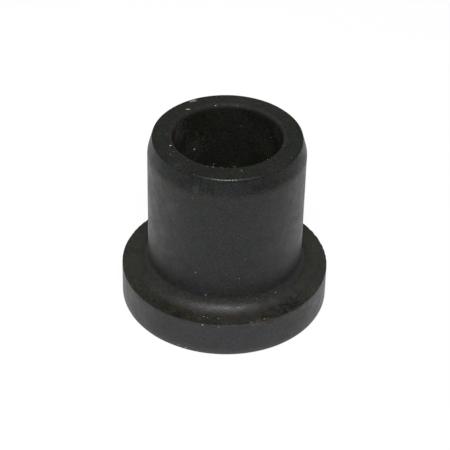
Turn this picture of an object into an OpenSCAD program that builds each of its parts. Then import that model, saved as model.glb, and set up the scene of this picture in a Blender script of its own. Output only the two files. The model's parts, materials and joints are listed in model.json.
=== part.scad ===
// Flanged rubber bushing: one moulded piece, a thick flange with a straight
// barrel on it, a tapered nose at the free end and a plain bore right through.
// It stands on its flange. The origin is the centre of the flange's underside,
// and +Z runs along the bore towards the nose.

/* [Flange] */
// Diameter of the flange
flange_d = 48; // [46:0.5:60]
// Thickness of the flange
flange_t = 9; // [5:0.5:14]
// Rounding of the flange's bottom edge
foot_round = 0.8; // [0.2:0.1:2]
// Rounding of the flange's top edge, where the mould parts
lip_round = 0.2; // [0.1:0.05:0.5]

/* [Barrel] */
// Diameter of the straight barrel
barrel_d = 35.8; // [34.6:0.1:37]
// Height from the base to the end of the nose
overall_h = 44; // [30:1:70]
// Fillet between the barrel and the flange
root_fillet = 3; // [1:0.25:4]

/* [Nose] */
// Diameter of the end face, before its edge is rounded
nose_d = 33.6; // [31:0.1:34.2]
// Length of the lead-in taper
nose_l = 4; // [2:0.5:8]
// Rounding of the end face's outer edge
nose_round = 0.5; // [0.1:0.1:1]
// Blend between the taper and the barrel
shoulder_round = 5; // [1:0.5:6]

/* [Bore] */
// Diameter of the bore
bore_d = 24.5; // [18:0.1:27]
// Rounding of the bore's two mouths
mouth_round = 0.5; // [0.1:0.1:1]

/* [Hidden] */

rubber = [0.16, 0.165, 0.155];
facets = 128;
arc_steps = 8;

flange_r = flange_d / 2;
barrel_r = barrel_d / 2;
nose_r = nose_d / 2;
bore_r = bore_d / 2;
root_r = barrel_r + root_fillet;
root_z = flange_t + root_fillet;

// The taper leans in from the barrel by this angle
taper_angle = atan2(barrel_r - nose_r, nose_l);

// Points along an arc, from one direction to the other
function arc(centre, r, from, to) =
    [for (k = [0:arc_steps])
        let (a = from + (to - from) * k / arc_steps)
        centre + r * [cos(a), sin(a)]];

// The blend below the taper, touching the barrel and the taper
shoulder_centre = [
    barrel_r - shoulder_round,
    overall_h - nose_l - shoulder_round * tan(taper_angle / 2)
];
shoulder_arc = arc(shoulder_centre, shoulder_round, 0, taper_angle);

// The edge above the taper, touching the taper and the end face
nose_centre = [
    nose_r - nose_round / tan(45 + taper_angle / 2),
    overall_h - nose_round
];
nose_arc = arc(nose_centre, nose_round, taper_angle, 90);

// What comes off a square corner to round it. The signs in inward say which
// way the solid lies from the corner.
module corner_waste(corner, inward, r) {
    centre = corner + inward * r;
    difference() {
        translate((corner + centre) / 2) square(r, center = true);
        translate(centre) circle(r = r, $fn = facets);
    }
}

// Half section through the wall, with the axis of the bore at the left. The
// root starts as a square step, and a circle hollows it into the fillet.
module wall_section() {
    difference() {
        polygon(concat(
            [[bore_r, 0], [flange_r, 0], [flange_r, flange_t]],
            [[root_r, flange_t], [root_r, root_z], [barrel_r, root_z]],
            shoulder_arc,
            nose_arc,
            [[bore_r, overall_h]]
        ));
        translate([root_r, root_z]) circle(r = root_fillet, $fn = facets);
        corner_waste([flange_r, 0], [-1, 1], foot_round);
        corner_waste([flange_r, flange_t], [-1, -1], lip_round);
        corner_waste([bore_r, 0], [1, 1], mouth_round);
        corner_waste([bore_r, overall_h], [1, -1], mouth_round);
    }
}

module bushing() {
    color(rubber) rotate_extrude($fn = facets) wall_section();
}

bushing();
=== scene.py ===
import json
import math
import random

import bmesh
import bpy
from mathutils import Matrix, Quaternion, Vector, noise
from mathutils.bvhtree import BVHTree


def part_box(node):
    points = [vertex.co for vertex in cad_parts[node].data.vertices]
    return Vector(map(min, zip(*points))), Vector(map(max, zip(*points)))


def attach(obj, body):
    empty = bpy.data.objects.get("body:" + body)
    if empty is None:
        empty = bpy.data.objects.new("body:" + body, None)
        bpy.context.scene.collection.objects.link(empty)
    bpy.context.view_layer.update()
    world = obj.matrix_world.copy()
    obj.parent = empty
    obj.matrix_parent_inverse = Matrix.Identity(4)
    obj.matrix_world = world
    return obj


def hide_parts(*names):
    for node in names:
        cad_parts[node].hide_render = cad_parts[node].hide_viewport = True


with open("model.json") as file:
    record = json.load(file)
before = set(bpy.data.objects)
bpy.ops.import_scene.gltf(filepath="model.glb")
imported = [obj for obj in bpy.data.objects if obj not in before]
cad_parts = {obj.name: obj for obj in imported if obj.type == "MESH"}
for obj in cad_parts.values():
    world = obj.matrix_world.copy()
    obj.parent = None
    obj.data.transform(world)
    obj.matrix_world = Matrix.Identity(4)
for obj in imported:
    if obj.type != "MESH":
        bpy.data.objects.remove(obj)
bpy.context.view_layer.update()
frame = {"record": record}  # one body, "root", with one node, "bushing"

mm = 0.001
scene = bpy.context.scene
scene.view_settings.view_transform = "Standard"


# Camera, placed so that the bushing fills the picture as in the photo

cameraSettings = {
    "elevation": 37.45,      # degrees above the floor
    "distance": 376.7 * mm,
    "lookAt": Vector((0, 0, 18 * mm)),
    "roll": 1.43,            # degrees, the bushing leans to the right
    "lens": 130.2,           # millimetres, as is the sensor
    "sensor": 36.0,
    "pictureWidth": 450,     # pixels, as are the shifts
    "shiftX": -0.3,
    "shiftY": 3.5,
}


def addCamera(settings):
    elevation = math.radians(settings["elevation"])
    away = Vector((0, -math.cos(elevation), math.sin(elevation)))
    data = bpy.data.cameras.new("camera")
    data.lens = settings["lens"]
    data.sensor_width = settings["sensor"]
    data.shift_x = settings["shiftX"] / settings["pictureWidth"]
    data.shift_y = settings["shiftY"] / settings["pictureWidth"]
    camera = bpy.data.objects.new("camera", data)
    scene.collection.objects.link(camera)
    camera.location = settings["lookAt"] + away * settings["distance"]
    aim = (-away).to_track_quat("-Z", "Y")
    tilt = Quaternion((0, 0, 1), math.radians(settings["roll"]))
    camera.rotation_mode = "QUATERNION"
    camera.rotation_quaternion = aim @ tilt
    scene.camera = camera
    bpy.context.view_layer.update()
    return camera


def pixelRay(settings, across, down):
    # Where a pixel of the picture looks from, and which way
    width = settings["pictureWidth"]
    right = (across + settings["shiftX"]) / width - 0.5
    up = 0.5 - (down - settings["shiftY"]) / width
    sensor = settings["sensor"]
    ray = Vector((right * sensor, up * sensor, -settings["lens"]))
    return camera.matrix_world.translation, (camera.matrix_world.to_3x3() @ ray).normalized()


camera = addCamera(cameraSettings)
print("camera placed")


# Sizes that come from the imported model, so that the looks follow the part

mounts = {mount["name"]: mount for mount in frame["record"]["mounts"]}
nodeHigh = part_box("bushing")[1]
flangeRadius = nodeHigh.x
topHeight = nodeHigh.z
boreRadius = mounts["bore"]["dims"]["r_mm"] * mm
mouthRounding = (topHeight - mounts["bore"]["dims"]["length_mm"] * mm) / 2
barrelRadius = mounts["barrel"]["dims"]["r_mm"] * mm
flangeHeight = mounts["flange_face"]["pos_m"][2]


# The bushing: one section spun round the bore's axis

bushing = {
    "columns": 360,          # steps round the axis
    "ringSpacing": 0.45 * mm,
    "boreSpacing": 1.5 * mm,
    "boreMargin": 0.1 * mm,  # a face this near the bore's wall belongs to it
    "tallBand": 1.4,         # a band is cut when it is longer than this many spacings
    "sameRing": 0.01 * mm,   # how far off a ring its vertices may lie
    "mergeDistance": 0.001 * mm,
    "inset": 0.012 * mm,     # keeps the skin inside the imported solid
    "noseRadius": 16.8 * mm,
    "noseLength": 4.0 * mm,
    "noseRounding": 0.5 * mm,
    "mouthWorn": 0.72 * mm,  # the upper mouth is rubbed rounder than it was moulded
    "shoulderRounding": 5.0 * mm,
    "rootFillet": 3.0 * mm,
    "lipRounding": 0.2 * mm,
    "footRounding": 0.8 * mm,
}
roundingSteps = {
    # faces across each rounding
    "lowerMouth": 4,
    "upperMouth": 8,
    "foot": 6,
    "lip": 4,
    "root": 12,
    "shoulder": 5,
    "nose": 6,
}


def sectionPlace(vertex):
    # How far a vertex is from the bore's axis, and how high
    return math.hypot(vertex.co.x, vertex.co.y), vertex.co.z


def ringEdges(bm, radius, height, tolerance):
    found = []
    for edge in bm.edges:
        ends = [sectionPlace(vertex) for vertex in edge.verts]
        if all(abs(r - radius) < tolerance and abs(z - height) < tolerance for r, z in ends):
            found.append(edge)
    return found


def roundRing(bm, radius, height, rounding, turn, corner):
    # turn is how far the section's outline bends at this corner, in degrees
    reach = rounding * math.tan(math.radians(turn) / 2)
    edges = ringEdges(bm, radius, height, bushing["sameRing"])
    bmesh.ops.bevel(bm, geom=edges, offset=reach, offset_type="OFFSET",
                    segments=roundingSteps[corner], profile=0.5, affect="EDGES",
                    clamp_overlap=True, material=-1)


def cutLongFaces(bm, settings):
    # Splits the tall and wide bands into rings, so that wear has vertices to move
    digits = 5  # of metres, so edges within a hundredth of a millimetre share a band
    bands = {}
    for edge in bm.edges:
        (r1, z1), (r2, z2) = [sectionPlace(vertex) for vertex in edge.verts]
        length = math.hypot(r2 - r1, z2 - z1)
        if length > settings["tallBand"] * settings["ringSpacing"]:
            inBore = max(r1, r2) < boreRadius + settings["boreMargin"]
            spacing = settings["boreSpacing"] if inBore else settings["ringSpacing"]
            band = tuple(round(side, digits) for side in (min(r1, r2), max(r1, r2), min(z1, z2)))
            cuts = math.ceil(length / spacing) - 1
            bands.setdefault(band, (cuts, []))[1].append(edge)
    for cuts, edges in bands.values():
        if cuts > 0:
            bmesh.ops.subdivide_edges(bm, edges=edges, cuts=cuts, use_grid_fill=True)


def makeBushing(settings):
    inset = settings["inset"]
    outer = flangeRadius - inset
    top = topHeight - inset
    bore = boreRadius + inset
    barrel = barrelRadius - inset
    nose = settings["noseRadius"] - inset
    shoulder = topHeight - settings["noseLength"]
    face = flangeHeight - inset
    taper = math.degrees(math.atan2(barrel - nose, top - shoulder))
    square = 90  # degrees, the turn of the outline at a plain corner
    corners = [(bore, inset), (outer, inset), (outer, face), (barrel, face),
               (barrel, shoulder), (nose, top), (bore, top)]

    bm = bmesh.new()
    verts = [bm.verts.new((radius, 0, height)) for radius, height in corners]
    edges = [bm.edges.new((a, b)) for a, b in zip(verts, verts[1:] + verts[:1])]
    bmesh.ops.spin(bm, geom=verts + edges, cent=(0, 0, 0), axis=(0, 0, 1),
                   angle=math.tau, steps=settings["columns"], use_merge=True)
    bmesh.ops.remove_doubles(bm, verts=bm.verts, dist=settings["mergeDistance"])
    bmesh.ops.recalc_face_normals(bm, faces=bm.faces)

    roundRing(bm, bore, inset, mouthRounding, square, "lowerMouth")
    roundRing(bm, bore, top, settings["mouthWorn"], square, "upperMouth")
    roundRing(bm, outer, inset, settings["footRounding"], square, "foot")
    roundRing(bm, outer, face, settings["lipRounding"], square, "lip")
    roundRing(bm, barrel, face, settings["rootFillet"], square, "root")
    roundRing(bm, barrel, shoulder, settings["shoulderRounding"], taper, "shoulder")
    roundRing(bm, nose, top, settings["noseRounding"], square - taper, "nose")
    cutLongFaces(bm, settings)
    bmesh.ops.recalc_face_normals(bm, faces=bm.faces)
    return bm


wear = {
    "coreShift": Vector((0.06, 0.35, 0)) * mm,   # the bore sits a little off the middle
    "coreWhole": 1.0 * mm,                       # wholly so up to this far outside its wall
    "coreReach": 2.6 * mm,                       # and not at all beyond this
    "mouthOval": 0.14 * mm,                      # the mouth is worn wider on its left
    "ovalDepth": 6.0 * mm,
    "waviness": 0.035 * mm,
    "wavePitch": 7.0 * mm,
    "waveBias": 0.6,                             # taken off, as waves may only go inwards
    "mouthZone": 1.0 * mm,                       # from the bore's wall, and below the end face
    "raggedness": 0.10 * mm,                     # along the upper mouth
    "lipZone": (0.5 * mm, 0.4 * mm),             # from the flange's rim, and from its face
    "lipRaggedness": 0.18 * mm,                  # along the upper edge of the flange
    "raggedPitch": 1.1 * mm,
    "noseRaggedness": 0.012 * mm,
    "noseEdge": (16.1 * mm, 43.62 * mm),         # the edge lies outside and above these
    "nickPixel": (192.8, 102.6),                 # at the back of the end face
    "nickReach": Vector((1.05, 1.3, 1.0)) * mm,  # along the edge, across it and down
    "nickDepth": 0.12 * mm,
    "nickSteepness": 5,                          # a larger value steepens its walls
}


def onSkin(tree, pixel):
    # The place on the bushing that a pixel of the photo shows, and the way it faces
    start, ray = pixelRay(cameraSettings, pixel[0], pixel[1])
    place, facing = tree.ray_cast(start, ray)[:2]
    return place, facing


def coreMove(place, settings):
    # The bore's shift, and the upper mouth's wider left side, which fades downwards
    radius = math.hypot(place.x, place.y)
    fade = settings["coreReach"] - settings["coreWhole"]
    share = (boreRadius + settings["coreReach"] - radius) / fade
    share = max(0, min(1, share))
    nearEnd = max(0, 1 - (topHeight - place.z) / settings["ovalDepth"])
    leftward = Vector((min(place.x, 0) / radius, 0, 0))
    return (settings["coreShift"] + leftward * settings["mouthOval"] * nearEnd) * share


def raggedDepth(place, settings):
    # How deep the wear may go along the three edges, and nothing elsewhere
    radius = math.hypot(place.x, place.y)
    mouthZone = settings["mouthZone"]
    lipWidth, lipHeight = settings["lipZone"]
    edgeRadius, edgeHeight = settings["noseEdge"]
    if radius > flangeRadius - lipWidth and abs(place.z - flangeHeight) < lipHeight:
        return settings["lipRaggedness"]
    if radius > edgeRadius and place.z > edgeHeight:
        return settings["noseRaggedness"]
    if radius < boreRadius + mouthZone and place.z > topHeight - mouthZone:
        return settings["raggedness"]
    return 0


def nickMove(place, nick, settings):
    around = Vector((-nick.y, nick.x, 0)).normalized()
    outward = Vector((nick.x, nick.y, 0)).normalized()
    away = place - nick
    reach = settings["nickReach"]
    apart = Vector((away.dot(around) / reach.x, away.dot(outward) / reach.y,
                    away.z / reach.z)).length
    depth = settings["nickDepth"] * max(0, min(1, settings["nickSteepness"] * (1 - apart)))
    return -(outward + Vector((0, 0, 1))) * depth


def wearBushing(bm, settings):
    nick = onSkin(BVHTree.FromBMesh(bm), settings["nickPixel"])[0]
    moves = []
    for vertex in bm.verts:
        place = vertex.co.copy()
        wave = noise.noise(place / settings["wavePitch"]) - settings["waveBias"]
        rough = abs(noise.noise(place / settings["raggedPitch"]))
        move = coreMove(place, settings)
        move += vertex.normal * min(wave, 0) * settings["waviness"]
        move -= vertex.normal * rough * raggedDepth(place, settings)
        move += nickMove(place, nick, settings)
        moves.append(move)
    for vertex, move in zip(bm.verts, moves):
        vertex.co += move


bushingMesh = makeBushing(bushing)
wearBushing(bushingMesh, wear)
bmesh.ops.recalc_face_normals(bushingMesh, faces=bushingMesh.faces)
skin = BVHTree.FromBMesh(bushingMesh)
mesh = bpy.data.meshes.new("bushingSkin")
bushingMesh.to_mesh(mesh)
bushingMesh.free()
mesh.shade_smooth()
bushingSkin = bpy.data.objects.new("bushingSkin", mesh)
scene.collection.objects.link(bushingSkin)
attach(bushingSkin, "root")
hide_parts("bushing")
print("bushing made,", len(mesh.polygons), "faces")


# Specks of dust and grit, where the photo shows them and thinly over the back

specks = {
    # across and down in the photo's pixels, length and width in mm, colour
    "topLeftOuter": (170.5, 145.5, 0.54, 0.48, "pale"),
    "topLeftLower": (170.5, 154.5, 0.30, 0.26, "soft"),
    "topLeftPair": (173.5, 151.5, 0.22, 0.16, "soft"),
    "topBackFlake": (188.0, 109.2, 1.35, 0.34, "pale"),
    "topBackCrumb": (187.5, 113.5, 0.22, 0.16, "tan"),
    "mouthBack": (215.5, 105.5, 0.38, 0.24, "pale"),
    "mouthBackRight": (237.5, 105.5, 0.20, 0.16, "soft"),
    "boreLeft": (194.5, 149.2, 0.60, 0.52, "pale"),
    "boreMiddle": (206.5, 149.5, 0.20, 0.16, "soft"),
    "boreBack": (241.5, 126.0, 0.34, 0.30, "tan"),
    "boreRight": (271.0, 137.5, 0.30, 0.26, "tan"),
    "mouthRight": (267.5, 159.5, 0.40, 0.34, "pale"),
    "topRight": (291.5, 157.5, 0.24, 0.18, "soft"),
    "mouthRightUpper": (283.5, 145.5, 0.24, 0.16, "tan"),
    "topFront": (241.5, 170.5, 0.32, 0.28, "soft"),
    "topFrontLeft": (187.5, 160.5, 0.22, 0.18, "soft"),
    "mouthRustFlake": (213.6, 164.0, 0.38, 0.46, "rust"),
    "mouthRustCrumb": (209.3, 164.8, 0.26, 0.20, "rust"),
    "mouthFlakeLeft": (207.6, 166.6, 0.80, 0.11, "tan"),
    "mouthFlakeNext": (212.9, 166.9, 0.70, 0.38, "tan"),
    "mouthFlakeMiddle": (221.5, 167.8, 1.20, 0.24, "tan"),
    "mouthFlakeAfter": (227.8, 167.9, 0.60, 0.14, "tan"),
    "mouthFlakeRight": (234.5, 166.9, 1.20, 0.15, "tan"),
    "taperLeft": (193.5, 174.5, 0.20, 0.15, "tan"),
    "barrelUpper": (192.5, 198.5, 0.20, 0.16, "soft"),
    "barrelLeft": (190.5, 245.5, 0.32, 0.28, "tan"),
    "barrelRight": (237.5, 238.5, 0.22, 0.18, "soft"),
    "barrelMiddle": (245.5, 259.5, 0.22, 0.16, "pale"),
    "barrelLowLeft": (195.5, 272.3, 0.40, 0.32, "soft"),
    "barrelLow": (239.5, 278.5, 0.34, 0.28, "soft"),
    "rootRight": (275.5, 292.5, 0.50, 0.42, "tan"),
    "rootLeft": (205.5, 295.0, 0.46, 0.34, "soft"),
    "rootMiddle": (256.5, 298.5, 0.26, 0.22, "soft"),
    "rootFront": (238.5, 307.5, 0.40, 0.32, "tan"),
    "lipLeft": (202.5, 325.0, 0.44, 0.34, "pale"),
    "lipMiddle": (218.5, 327.3, 0.24, 0.18, "pale"),
    "lipRight": (251.5, 322.3, 0.42, 0.20, "pale"),
    "lipCrumbs": (256.5, 321.5, 0.50, 0.16, "tan"),
    "lipCrumbsRight": (264.5, 319.0, 0.54, 0.22, "soft"),
    "flangeFront": (203.5, 316.5, 0.40, 0.32, "soft"),
    "flangeFrontNext": (207.5, 317.5, 0.28, 0.20, "soft"),
    "flangeFrontRight": (218.5, 318.5, 0.42, 0.32, "soft"),
    "footLeft": (178.5, 344.8, 0.50, 0.20, "pale"),
    "footLeftNext": (186.0, 347.6, 0.44, 0.20, "pale"),
    "footFront": (197.5, 350.4, 0.44, 0.11, "pale"),
}
gritColours = {
    "pale": (0.45, 0.45, 0.42, 1),
    "soft": (0.29, 0.29, 0.265, 1),
    "tan": (0.20, 0.185, 0.15, 1),
    "rust": (0.17, 0.085, 0.025, 1),
}
gritRoughness = 0.7
speckShape = {
    "corners": 7,
    "topShare": 0.8,          # how much of its foot the top covers
    "thickness": 0.020 * mm,  # half of it is sunk in the rubber
    "middleSize": 0.85,       # of the size asked for
    "unevenness": 0.4,        # how far each corner may differ from that
    "unevenPitch": 0.2 * mm,
}
speckScatter = {
    # a few more at random, thrown at the bushing from behind
    "count": 26,
    "seed": 11,
    "sizes": (0.16 * mm, 0.36 * mm),
    "widthShare": 0.7,
    "colours": ["pale", "tan"],
    "sides": (10, 170),       # degrees round the axis, away from the camera
    "startDistance": 0.2,     # metres from the axis
    "startSlopes": (0.02, 0.7),  # height of the start, as a share of that
    "goalHeights": (0.1, 0.95),  # on the axis, as shares of the bushing's height
}


def addSpeck(bm, place, facing, length, width, turn, colour):
    # A flat crumb with an uneven outline, lying on the rubber
    stance = (Matrix.Translation(place) @ facing.to_track_quat("Z", "Y").to_matrix().to_4x4()
              @ Matrix.Rotation(turn, 4, "Z") @ Matrix.Diagonal((length / 2, width / 2, 1, 1)))
    made = bmesh.ops.create_cone(bm, cap_ends=True, segments=speckShape["corners"], radius1=1,
                                 radius2=speckShape["topShare"],
                                 depth=speckShape["thickness"], matrix=stance)
    for vertex in made["verts"]:
        wander = noise.noise(vertex.co / speckShape["unevenPitch"])
        size = speckShape["middleSize"] + speckShape["unevenness"] * wander
        vertex.co = place + (vertex.co - place) * size
        for face in vertex.link_faces:
            face.material_index = list(gritColours).index(colour)


def addSeenSpecks(bm):
    right = camera.matrix_world.to_3x3() @ Vector((1, 0, 0))
    for across, down, length, width, colour in specks.values():
        place, facing = onSkin(skin, (across, down))
        flat = facing.to_track_quat("Z", "Y").to_matrix().inverted() @ right
        turn = math.atan2(flat.y, flat.x)
        addSpeck(bm, place, facing, length * mm, width * mm, turn, colour)


def addBackSpecks(bm, settings):
    chance = random.Random(settings["seed"])
    for _ in range(settings["count"]):
        side = math.radians(chance.uniform(*settings["sides"]))
        slope = chance.uniform(*settings["startSlopes"])
        start = Vector((math.cos(side), math.sin(side), slope)) * settings["startDistance"]
        goal = Vector((0, 0, chance.uniform(*settings["goalHeights"]) * topHeight))
        place, facing = skin.ray_cast(start, (goal - start).normalized())[:2]
        size = chance.uniform(*settings["sizes"])
        turn = chance.uniform(0, math.pi)
        addSpeck(bm, place, facing, size, size * settings["widthShare"], turn,
                 chance.choice(settings["colours"]))


def makeSpecks():
    bm = bmesh.new()
    addSeenSpecks(bm)
    addBackSpecks(bm, speckScatter)
    speckMesh = bpy.data.meshes.new("specks")
    bm.to_mesh(speckMesh)
    bm.free()
    made = bpy.data.objects.new("specks", speckMesh)
    scene.collection.objects.link(made)
    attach(made, "root")
    return made


crumbs = makeSpecks()
print("specks made")


# Materials

def feed(tree, node, inputs):
    # An output is linked to the input, and any other value is set on it
    for name, value in inputs.items():
        if isinstance(value, bpy.types.NodeSocket):
            tree.links.new(value, node.inputs[name])
        else:
            node.inputs[name].default_value = value
    return node


def addNode(tree, kind, inputs=None, **settings):
    node = tree.nodes.new(kind)
    for name, value in settings.items():
        setattr(node, name, value)
    return feed(tree, node, inputs or {})


def newMaterial(name):
    material = bpy.data.materials.new(name)
    material.use_nodes = True
    tree = material.node_tree
    tree.nodes.clear()
    output = tree.nodes.new("ShaderNodeOutputMaterial")
    return material, tree, output


def newGroup(name, inputs, outputs):
    # A node group; inputs and outputs give each socket its kind
    group = bpy.data.node_groups.new(name, "ShaderNodeTree")
    for label, kind in inputs.items():
        group.interface.new_socket(label, in_out="INPUT", socket_type="NodeSocket" + kind)
    for label, kind in outputs.items():
        group.interface.new_socket(label, in_out="OUTPUT", socket_type="NodeSocket" + kind)
    return group, group.nodes.new("NodeGroupInput"), group.nodes.new("NodeGroupOutput")


def addGroup(tree, group, inputs):
    node = tree.nodes.new("ShaderNodeGroup")
    node.node_tree = group
    return feed(tree, node, inputs)


noisePatterns = {
    # scale per metre, detail, roughness
    "fineTooth": (2300.0, 2.0, 0.6),
    "swells": (420.0, 3.0, 0.55),
    "blotEdge": (1500.0, 3.0, 0.6),
    "dustThickness": (700.0, 4.0, 0.65),
    "soilCrumbs": (900.0, 4.0, 0.75),
    "clouds": (380.0, 3.0, 0.8),
    "hues": (1500.0, 3.0, 0.8),
    "shades": (2600.0, 3.0, 0.8),
}


def addNoise(tree, place, pattern):
    scale, detail, roughness = noisePatterns[pattern]
    return addNode(tree, "ShaderNodeTexNoise", {
        "Vector": place, "Scale": scale, "Detail": detail, "Roughness": roughness})


def addMath(tree, operation, *values, **settings):
    # One step of arithmetic, with its values in order
    return addNode(tree, "ShaderNodeMath", dict(enumerate(values)), operation=operation,
                   **settings).outputs[0]


def addRamp(tree, value, start, end, smooth=True):
    # From 0 at start to 1 at end
    kind = "SMOOTHSTEP" if smooth else "LINEAR"
    return addNode(tree, "ShaderNodeMapRange", {
        "Value": value, "From Min": start, "From Max": end}, interpolation_type=kind).outputs[0]


def fromAxis(tree, place, axis=(0, 0, 0)):
    # The distance from an upright axis
    flat = addNode(tree, "ShaderNodeVectorMath", operation="MULTIPLY", inputs={
        0: place, 1: (1, 1, 0)})
    return addNode(tree, "ShaderNodeVectorMath", operation="DISTANCE", inputs={
        0: flat.outputs[0], 1: axis}).outputs["Value"]


def mixColours(tree, share, first, second):
    # Inputs 6 and 7 and output 2 of a Mix node are its colours
    mixed = addNode(tree, "ShaderNodeMix", {0: share, 6: first, 7: second}, data_type="RGBA")
    return mixed.outputs[2]


grain = {
    "fineDepth": 0.050 * mm,
    "coarseDepth": 0.090 * mm,
    "roughness": 0.45,
    "fineSpread": 0.22,      # how much the tooth and the swells vary it
    "coarseSpread": 0.28,
    "mouthDulling": 0.30,    # how much rougher the worn mouth of the bore is
    "leftDulling": 0.22,     # and what its left side has more than the right
    "dustDulling": 0.035,    # and the dusty fillet
    "edgePolish": 0.20,      # how much less rough the rubbed edge of the nose is
    "edgeRubbed": (-12.5 * mm, -15.2 * mm),  # towards the front: starts, and is full
    "edgeFade": 0.15 * mm,                   # upwards
    "mouthFade": (1.6 * mm, 0.9 * mm),       # outside the bore's wall, likewise
    "mouthDepth": 1.05 * mm,                 # below the end face
    "leftFade": (2.0 * mm, -9.0 * mm),       # towards the left, likewise
    "dustMiddle": 1.5 * mm,                  # above the flange's face
    "dustReach": 1.6 * mm,                   # above and below that
}


def makeGrain(settings):
    # The skin that the mould leaves: a fine tooth over slow, shallow swells
    group, given, result = newGroup("mouldGrain", {"Vector": "Vector"},
                                    {"Height": "Float", "Roughness": "Float"})
    place = given.outputs["Vector"]
    fine = addNoise(group, place, "fineTooth").outputs[0]
    coarse = addNoise(group, place, "swells").outputs[0]

    def blend(fineAmount, coarseAmount, start):
        slow = addMath(group, "MULTIPLY_ADD", coarse, coarseAmount, start)
        return addMath(group, "MULTIPLY_ADD", fine, fineAmount, slow)

    radius = fromAxis(group, place)
    parts = addNode(group, "ShaderNodeSeparateXYZ", {0: place})
    height = parts.outputs["Z"]
    edgeRadius, edgeHeight = wear["noseEdge"]
    outer = addMath(group, "GREATER_THAN", radius, edgeRadius)
    upper = addRamp(group, height, edgeHeight, edgeHeight + settings["edgeFade"], smooth=False)
    corner = addMath(group, "MULTIPLY", outer, upper)
    rubbed = addRamp(group, parts.outputs["Y"], *settings["edgeRubbed"])
    edge = addMath(group, "MULTIPLY", corner, rubbed)
    spread = settings["fineSpread"] + settings["coarseSpread"]
    uneven = blend(settings["fineSpread"], settings["coarseSpread"],
                   settings["roughness"] - spread / 2)
    polished = addMath(group, "MULTIPLY_ADD", edge, -settings["edgePolish"], uneven)
    fadeStart, fadeEnd = settings["mouthFade"]
    nearBore = addRamp(group, radius, boreRadius + fadeStart, boreRadius + fadeEnd,
                       smooth=False)
    nearEnd = addMath(group, "GREATER_THAN", height, topHeight - settings["mouthDepth"])
    mouth = addMath(group, "MULTIPLY", nearBore, nearEnd)
    toLeft = addRamp(group, parts.outputs["X"], *settings["leftFade"], smooth=False)
    dulling = addMath(group, "MULTIPLY_ADD", toLeft, settings["leftDulling"],
                      settings["mouthDulling"])
    mouthDulled = addMath(group, "MULTIPLY_ADD", mouth, dulling, polished)
    dusty = addMath(group, "COMPARE", height, flangeHeight + settings["dustMiddle"],
                    settings["dustReach"])
    dulled = addMath(group, "MULTIPLY_ADD", dusty, settings["dustDulling"], mouthDulled)
    feed(group, result, {
        "Height": blend(settings["fineDepth"], settings["coarseDepth"], 0),
        "Roughness": dulled})
    return group


blotEdge = {
    # all are shares of the patch's reach
    "spread": 2.4,           # how far the noise moves the edge out
    "start": -0.7,           # where the edge is before that
    "fade": (-0.35, 0.45),   # where the colour starts and is full, inwards from the edge
}


def makeBlot(settings):
    # A patch of another colour with a broken edge
    group, given, result = newGroup(
        "blot", {"Color": "Color", "Vector": "Vector", "Centre": "Vector", "Reach": "Float",
                 "Tint": "Color", "Strength": "Float"}, {"Color": "Color"})
    place = given.outputs["Vector"]
    apart = addNode(group, "ShaderNodeVectorMath", operation="DISTANCE", inputs={
        0: place, 1: given.outputs["Centre"]}).outputs["Value"]
    share = addMath(group, "DIVIDE", apart, given.outputs["Reach"])
    broken = addNoise(group, place, "blotEdge").outputs[0]
    edge = addMath(group, "MULTIPLY_ADD", broken, settings["spread"], settings["start"])
    mask = addRamp(group, addMath(group, "SUBTRACT", edge, share), *settings["fade"])
    amount = addMath(group, "MULTIPLY", mask, given.outputs["Strength"])
    feed(group, result, {"Color": mixColours(group, amount, given.outputs["Color"],
                                             given.outputs["Tint"])})
    return group


dustZones = {
    # where each share of the dust starts and where it is full
    "aboveFlange": (flangeHeight + 5.2 * mm, flangeHeight + 1.0 * mm),
    "belowLip": (flangeHeight - 0.1 * mm, flangeHeight - 0.6 * mm),
    "aboveFoot": (0.8 * mm, 3.0 * mm),
    "atFoot": (2.2 * mm, 0.5 * mm),
    "onEnd": (topHeight - 0.4 * mm, topHeight - 0.1 * mm),
    "inBore": (boreRadius + 0.45 * mm, boreRadius + 0.15 * mm),
    "nearEnd": (topHeight - 1.1 * mm, topHeight - 0.5 * mm),
    "nearMouth": (boreRadius + 1.1 * mm, boreRadius + 0.8 * mm),
    "nearRim": (flangeRadius - 4.5 * mm, flangeRadius - 1.0 * mm),
    "nearLip": (flangeHeight - 0.25 * mm, flangeHeight - 0.05 * mm),
    "toFront": (-6.0 * mm, -13.0 * mm),
    "toLeft": (7.0 * mm, -4.0 * mm),
    "soilCrumbs": (0.42, 0.56),
    "thickness": (1.6, 0.1),  # what the noise adds, and the least dust
}


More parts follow.
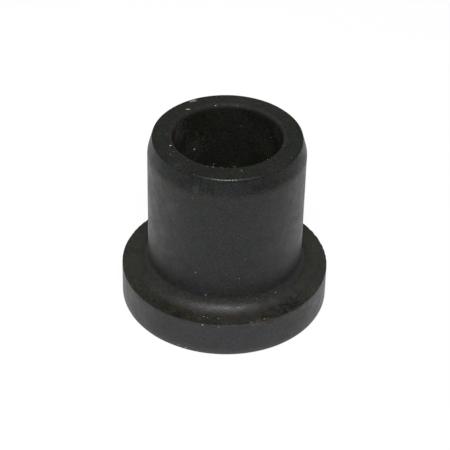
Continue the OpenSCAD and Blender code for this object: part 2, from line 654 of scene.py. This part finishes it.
def makeVeil(settings):
    # Dust on the flange that thins out up the fillet, in the bore and on its worn mouth, and a
    # pale dust on the rim and foot that is partly painted glare from the floor; the bore's
    # colour comes in with painted light and shade laid on it
    group, given, result = newGroup("settledDust", {
        "Color": "Color", "Vector": "Vector", "Flange": "Color", "Rim": "Color",
        "Foot": "Color", "End": "Color", "Bore": "Color", "Mouth": "Color",
        "Soil": "Color"}, {"Color": "Color", "In Bore": "Float"})
    place = given.outputs["Vector"]
    parts = addNode(group, "ShaderNodeSeparateXYZ", {0: place})
    height = parts.outputs["Z"]
    radius = fromAxis(group, place, wear["coreShift"])
    thick = addMath(group, "MULTIPLY_ADD", addNoise(group, place, "dustThickness").outputs[0],
                    *settings["thickness"])
    crumbled = addNoise(group, place, "soilCrumbs").outputs[0]

    def ramp(value, name):
        return addRamp(group, value, *settings[name])

    def both(first, second):
        return addMath(group, "MULTIPLY", first, second, use_clamp=True)

    inBore = ramp(radius, "inBore")
    onLip = both(ramp(radius, "nearRim"), ramp(height, "nearLip"))
    inFront = both(ramp(parts.outputs["Y"], "toFront"), ramp(parts.outputs["X"], "toLeft"))
    masks = {
        "Flange": ramp(height, "aboveFlange"),
        "Rim": both(ramp(height, "belowLip"), ramp(height, "aboveFoot")),
        "Foot": ramp(height, "atFoot"),
        "End": ramp(height, "onEnd"),
        "Bore": inBore,
        "Mouth": both(ramp(height, "nearEnd"), ramp(radius, "nearMouth")),
        "Soil": both(both(onLip, inFront), ramp(crumbled, "soilCrumbs")),
    }
    colour = given.outputs["Color"]
    for name, mask in masks.items():
        colour = mixColours(group, both(mask, thick), colour, given.outputs[name])
    feed(group, result, {"Color": colour, "In Bore": inBore})
    return group


def makeSpeckle():
    # Fine uneven colour and shade all over the rubber
    group, given, result = newGroup("speckle", {
        "Color": "Color", "Vector": "Vector", "Cloud": "Float", "Hue": "Float",
        "Shade": "Float", "Strength": "Float"}, {"Color": "Color"})

    def spots(pattern, output, amount, start):
        noisy = addNoise(group, given.outputs["Vector"], pattern)
        spread = addNode(group, "ShaderNodeVectorMath", operation="SUBTRACT", inputs={
            0: noisy.outputs[output], 1: middle})
        scaled = addNode(group, "ShaderNodeVectorMath", operation="SCALE", inputs={
            0: spread.outputs[0], "Scale": amount})
        return addNode(group, "ShaderNodeVectorMath", operation="ADD", inputs={
            0: scaled.outputs[0], 1: start}).outputs[0]

    middle = (0.5, 0.5, 0.5)  # what the noise gives on average
    clouded = spots("clouds", "Color", given.outputs["Cloud"], (0, 0, 0))
    tinted = spots("hues", "Color", given.outputs["Hue"], clouded)
    shaded = spots("shades", 0, given.outputs["Shade"], tinted)
    scaled = addNode(group, "ShaderNodeVectorMath", operation="SCALE", inputs={
        0: shaded, "Scale": given.outputs["Strength"]})
    summed = addNode(group, "ShaderNodeVectorMath", operation="ADD", inputs={
        0: scaled.outputs[0], 1: given.outputs["Color"]})
    kept = addNode(group, "ShaderNodeVectorMath", operation="MAXIMUM", inputs={
        0: summed.outputs[0], 1: (0, 0, 0)})
    feed(group, result, {"Color": kept.outputs[0]})
    return group


rubber = {
    "colour": (0.0052, 0.0059, 0.0048, 1),
    "flangeDust": (0.0237, 0.0238, 0.0198, 1),
    # the rim's and foot's dust is paler than dust alone, as painted glare from the floor
    "rimDust": (0.0138, 0.0141, 0.0163, 1),
    "footDust": (0.0400, 0.0400, 0.0410, 1),
    "endDust": (0.0044, 0.0064, 0.0036, 1),
    "boreDust": (0.0100, 0.0108, 0.0070, 1),
    "mouthDust": (0.0125, 0.0126, 0.0112, 1),
    "soil": (0.0110, 0.0075, 0.0040, 1),
    "boreCalm": 0.45,        # how much less the colour varies in the bore
    "cloudSpread": 0.020,
    "hueSpread": 0.018,
    "shadeSpread": 0.068,
    "specular": 0.41,
    "ior": 1.5,
}
tints = {
    "chip": (0.200, 0.200, 0.185, 1),
    "rust": (0.060, 0.032, 0.012, 1),
    "tan": (0.055, 0.040, 0.030, 1),
    "brown": (0.026, 0.019, 0.013, 1),
    "dark": (0.003, 0.0025, 0.0015, 1),
    # painted shade on the end face
    "deepOlive": (0.0006, 0.0022, 0.0001, 1),
    # sand, and also painted side light on the bore's walls
    "sand": (0.038, 0.037, 0.031, 1),
    "olive": (0.022, 0.023, 0.010, 1),
    "grey": (0.034, 0.034, 0.032, 1),
    # painted light at the bore's mouth
    "haze": (0.075, 0.070, 0.062, 1),
}
# Painted light and shade in the bore: the pale patches on its left and right walls and at both
# sides of its mouth are painted side light falling in, and the dark patch at its back is painted
# shade
paintedBoreLightAndShade = {
    # across and down in the photo's pixels, reach in mm, tint, strength
    "left": (177.0, 135.0, 6.5, "sand", 1.0),
    "right": (279.0, 135.0, 4.5, "sand", 0.6),
    "lowLeft": (190.0, 150.0, 6.5, "sand", 0.65),
    "lowRight": (268.0, 148.0, 6.0, "sand", 0.35),
    "leftMouth": (176.5, 133.0, 3.2, "haze", 0.7),
    "rightMouth": (284.0, 137.0, 1.8, "haze", 0.7),
    "backDark": (240.0, 114.0, 8.0, "dark", 0.5),
}
marksAndPaintedLight = {
    # the same, over the whole bushing: stains, dirt and scuffs, with painted light and shade
    # where marked
    "nickLeft": (190.4, 101.5, 0.55, "chip", 1.0),
    "nickMiddle": (192.8, 100.7, 0.65, "chip", 1.0),
    "nickRight": (195.2, 100.1, 0.65, "chip", 1.0),
    # painted light on the back of the end face, and painted shade over its front and front right
    "topBack": (254.0, 100.5, 14.0, "grey", 0.24),
    "topFrontDark": (222.0, 172.0, 15.0, "deepOlive", 1.0),
    "topRightDark": (275.0, 158.0, 9.0, "deepOlive", 0.7),
    # painted shade that dims the highlight on the back of the mouth
    "mouthBackDark": (256.0, 108.5, 5.5, "dark", 0.65),
    # painted shade that dims the right end of the fillet's highlight
    "filletDarkRight": (262.0, 304.0, 3.5, "dark", 0.5),
    "mouthRedLeft": (173.2, 128.5, 0.8, "rust", 0.40),
    "mouthRedLower": (174.0, 138.5, 0.9, "rust", 0.45),
    "ringOliveLeft": (167.0, 134.5, 0.8, "sand", 0.6),
    # painted light on the taper, at its front and sides
    "taperFront": (232.0, 192.0, 9.0, "grey", 0.22),
    "taperLeft": (178.0, 180.0, 8.0, "grey", 0.10),
    "taperRight": (285.0, 172.0, 8.0, "grey", 0.20),
    "mouthRust": (213.5, 165.0, 0.7, "rust", 0.6),
    "mouthBrownRight": (232.0, 167.0, 1.2, "brown", 0.7),
    "topLeftBrown": (177.0, 165.0, 1.3, "brown", 0.8),
    "ringBrownLeft": (173.0, 138.0, 1.6, "brown", 0.6),
    "taperBrown": (169.0, 179.5, 1.4, "brown", 0.7),
    "taperScuff": (196.0, 189.5, 1.9, "grey", 0.55),
    "shoulderScuff": (207.0, 194.5, 2.0, "grey", 0.30),
    "shoulderScuffRight": (222.0, 197.5, 2.0, "grey", 0.20),
    "barrelScuff": (171.0, 208.0, 3.6, "grey", 0.45),
    "barrelScuffLow": (163.0, 234.0, 3.0, "grey", 0.50),
    "flangeBrownLeft": (177.0, 311.0, 2.6, "brown", 0.8),
    "flangeBrownCorner": (152.0, 292.0, 2.4, "brown", 0.6),
    "flangeBrownMiddle": (230.0, 317.0, 1.8, "brown", 0.7),
    # painted light that carries the fillet's highlight down onto the flange
    "flangePaleFront": (203.0, 313.5, 4.0, "grey", 0.50),
    "lipDarkLeft": (178.0, 315.0, 2.2, "dark", 0.8),
    # painted shade that dims the floor's reflection on the rim's front sides
    "rimDarkLeft": (163.0, 325.0, 6.0, "dark", 0.8),
    "rimDarkRight": (294.0, 320.0, 8.0, "dark", 1.0),
    "flangeOliveLeft": (137.0, 262.0, 3.0, "olive", 0.5),
    "flangeBrownRight": (265.0, 311.0, 2.0, "brown", 0.9),
    "lipDarkRight": (268.0, 317.0, 2.2, "dark", 0.8),
    # painted shade on the right of the fillet
    "flangeDarkRight": (288.0, 306.0, 5.0, "dark", 0.08),
    "flangePaleRight": (319.0, 248.0, 5.0, "grey", 0.35),
    "flangeOliveRight": (312.0, 236.0, 3.0, "olive", 0.5),
    "lipBrownLeft": (190.0, 318.0, 1.6, "brown", 0.9),
    "flangeRed": (268.0, 312.5, 1.2, "rust", 0.35),
    "flangeRustCentre": (236.0, 316.5, 1.4, "rust", 0.30),
    "flangeBrownNext": (206.0, 316.0, 1.5, "brown", 1.0),
    "lipBrownMiddle": (222.0, 327.5, 1.5, "brown", 0.8),
    "lipStreakStart": (253.0, 322.8, 1.1, "tan", 0.8),
    "lipStreak": (260.0, 321.2, 1.2, "tan", 0.9),
    "lipStreakEnd": (267.0, 318.8, 1.0, "tan", 0.8),
}


def layStainsAndPaintedLight(tree, blot, place, colour, patches):
    # Lays each patch, stain or painted light and shade alike, over the colour so far
    for across, down, reach, tint, strength in patches.values():
        centre = onSkin(skin, (across, down))[0]
        colour = addGroup(tree, blot, {
            "Color": colour, "Vector": place, "Centre": centre, "Reach": reach * mm,
            "Tint": tints[tint], "Strength": strength}).outputs[0]
    return colour


def makeRubber(settings):
    material, tree, output = newMaterial("mouldedRubber")
    place = addNode(tree, "ShaderNodeTexCoord").outputs["Object"]
    skinGrain = addGroup(tree, makeGrain(grain), {"Vector": place})
    blot = makeBlot(blotEdge)
    veil = addGroup(tree, makeVeil(dustZones), {
        "Color": settings["colour"], "Vector": place, "Flange": settings["flangeDust"],
        "Rim": settings["rimDust"], "Foot": settings["footDust"],
        "End": settings["endDust"], "Mouth": settings["mouthDust"], "Soil": settings["soil"],
        "Bore": layStainsAndPaintedLight(tree, blot, place, settings["boreDust"], paintedBoreLightAndShade)})
    colour = layStainsAndPaintedLight(tree, blot, place, veil.outputs["Color"], marksAndPaintedLight)
    calmer = addMath(tree, "MULTIPLY_ADD", veil.outputs["In Bore"], -settings["boreCalm"], 1)
    colour = addGroup(tree, makeSpeckle(), {
        "Color": colour, "Vector": place, "Cloud": settings["cloudSpread"],
        "Hue": settings["hueSpread"], "Shade": settings["shadeSpread"],
        "Strength": calmer}).outputs[0]
    # The grain's height is in metres, so the bump's distance is 1
    bump = addNode(tree, "ShaderNodeBump", {
        "Strength": 1.0, "Distance": 1.0, "Height": skinGrain.outputs["Height"]})
    shader = addNode(tree, "ShaderNodeBsdfPrincipled", {
        "Base Color": colour, "Roughness": skinGrain.outputs["Roughness"],
        "IOR": settings["ior"], "Specular IOR Level": settings["specular"],
        "Normal": bump.outputs[0]})
    tree.links.new(shader.outputs[0], output.inputs["Surface"])
    return material


def makeGrit(name):
    material, tree, output = newMaterial(name + "Grit")
    shader = addNode(tree, "ShaderNodeBsdfPrincipled", {
        "Base Color": gritColours[name], "Roughness": gritRoughness})
    tree.links.new(shader.outputs[0], output.inputs["Surface"])
    return material


bushingSkin.data.materials.append(makeRubber(rubber))
for name in gritColours:
    crumbs.data.materials.append(makeGrit(name))
print("rubber made")


# Floor, dark cards, lamps and world, with lengths in metres

studio = {
    "roundness": 64,         # corners of the floor and of the ring of cards
    "floorRadius": 6.0,
    "floorColour": (0.85, 0.85, 0.85, 1),
    "floorGlow": 0.90,       # share of the white that the floor shows by itself
    "floorLit": 0.12,        # share that it takes from the lamps, which keeps the shadow
    "worldColour": (0.290, 0.300, 0.262, 1),
    "keyElevation": 52.0,    # degrees above the floor, on the camera's side
    "keyDistance": 0.7,
    "keySize": 0.2,
    "keyPower": 2.68,
    "keyColour": (1.01, 0.98, 1.09),
    "fillElevation": 62.0,
    "fillDistance": 1.4,
    "fillSize": 1.9,
    "fillPower": 9.5,
    "cardRadius": 0.195,     # black cards round the bushing, out of the camera's sight
    "cardShift": -0.03,
    "cardHeight": 0.06,
    "cardColour": (0.01, 0.01, 0.01, 1),
}


def whiteForTheEye(tree):
    # 1 for rays that come from the camera, a mirror or glass
    path = addNode(tree, "ShaderNodeLightPath")
    seen = addMath(tree, "MAXIMUM", path.outputs["Is Camera Ray"],
                   path.outputs["Is Glossy Ray"])
    return addMath(tree, "MAXIMUM", seen, path.outputs["Is Transmission Ray"])


def roundBushing(tree, amount):
    # The floor is white by itself only round the bushing, and plainly lit in its bore
    place = addNode(tree, "ShaderNodeTexCoord").outputs["Object"]
    underFlange = (boreRadius + flangeRadius) / 2
    outside = addMath(tree, "GREATER_THAN", fromAxis(tree, place), underFlange)
    return addMath(tree, "MULTIPLY", outside, amount)


def addFloor(settings):
    bm = bmesh.new()
    bmesh.ops.create_circle(bm, cap_ends=True, segments=settings["roundness"],
                            radius=settings["floorRadius"])
    floorMesh = bpy.data.meshes.new("floor")
    bm.to_mesh(floorMesh)
    bm.free()
    floor = bpy.data.objects.new("floor", floorMesh)
    scene.collection.objects.link(floor)
    material, tree, output = newMaterial("paleFloor")
    plain = addNode(tree, "ShaderNodeBsdfDiffuse", {"Color": settings["floorColour"]})
    lit = settings["floorLit"]
    faint = addNode(tree, "ShaderNodeBsdfDiffuse", {"Color": (lit, lit, lit, 1)})
    glow = addNode(tree, "ShaderNodeEmission", {"Strength": settings["floorGlow"]})
    bright = addNode(tree, "ShaderNodeAddShader", {0: faint.outputs[0], 1: glow.outputs[0]})
    mix = addNode(tree, "ShaderNodeMixShader", {
        0: roundBushing(tree, whiteForTheEye(tree)), 1: plain.outputs[0],
        2: bright.outputs[0]})
    tree.links.new(mix.outputs[0], output.inputs["Surface"])
    floorMesh.materials.append(material)


def addCards(settings):
    # They keep the far floor out of the rubber's shine, as black flags do in a studio
    bm = bmesh.new()
    bmesh.ops.create_circle(bm, segments=settings["roundness"], radius=settings["cardRadius"],
                            matrix=Matrix.Translation((settings["cardShift"], 0, 0)))
    raised = bmesh.ops.extrude_edge_only(bm, edges=bm.edges)
    for vertex in raised["geom"]:
        if isinstance(vertex, bmesh.types.BMVert):
            vertex.co.z += settings["cardHeight"]
    cardMesh = bpy.data.meshes.new("cards")
    bm.to_mesh(cardMesh)
    bm.free()
    cards = bpy.data.objects.new("cards", cardMesh)
    scene.collection.objects.link(cards)
    cards.visible_camera = False
    material, tree, output = newMaterial("blackCard")
    black = addNode(tree, "ShaderNodeBsdfDiffuse", {"Color": settings["cardColour"]})
    tree.links.new(black.outputs[0], output.inputs["Surface"])
    cardMesh.materials.append(material)


def addLamp(name, elevation, distance, size, power, colour=(1, 1, 1)):
    # A round soft lamp on the camera's side of the bushing
    rise = math.radians(elevation)
    away = Vector((0, -math.cos(rise), math.sin(rise)))
    data = bpy.data.lights.new(name, "AREA")
    data.shape = "DISK"
    data.size = size
    data.energy = power
    data.color = colour
    lamp = bpy.data.objects.new(name, data)
    scene.collection.objects.link(lamp)
    lamp.location = away * distance
    lamp.rotation_euler = (-away).to_track_quat("-Z", "Y").to_euler()


def addWorld(settings):
    world = bpy.data.worlds.new("studio")
    scene.world = world
    world.use_nodes = True
    background = world.node_tree.nodes["Background"]
    background.inputs["Color"].default_value = settings["worldColour"]


addFloor(studio)
addCards(studio)
addLamp("key", studio["keyElevation"], studio["keyDistance"], studio["keySize"],
        studio["keyPower"], studio["keyColour"])
addLamp("fill", studio["fillElevation"], studio["fillDistance"], studio["fillSize"],
        studio["fillPower"])
addWorld(studio)
print("studio made")
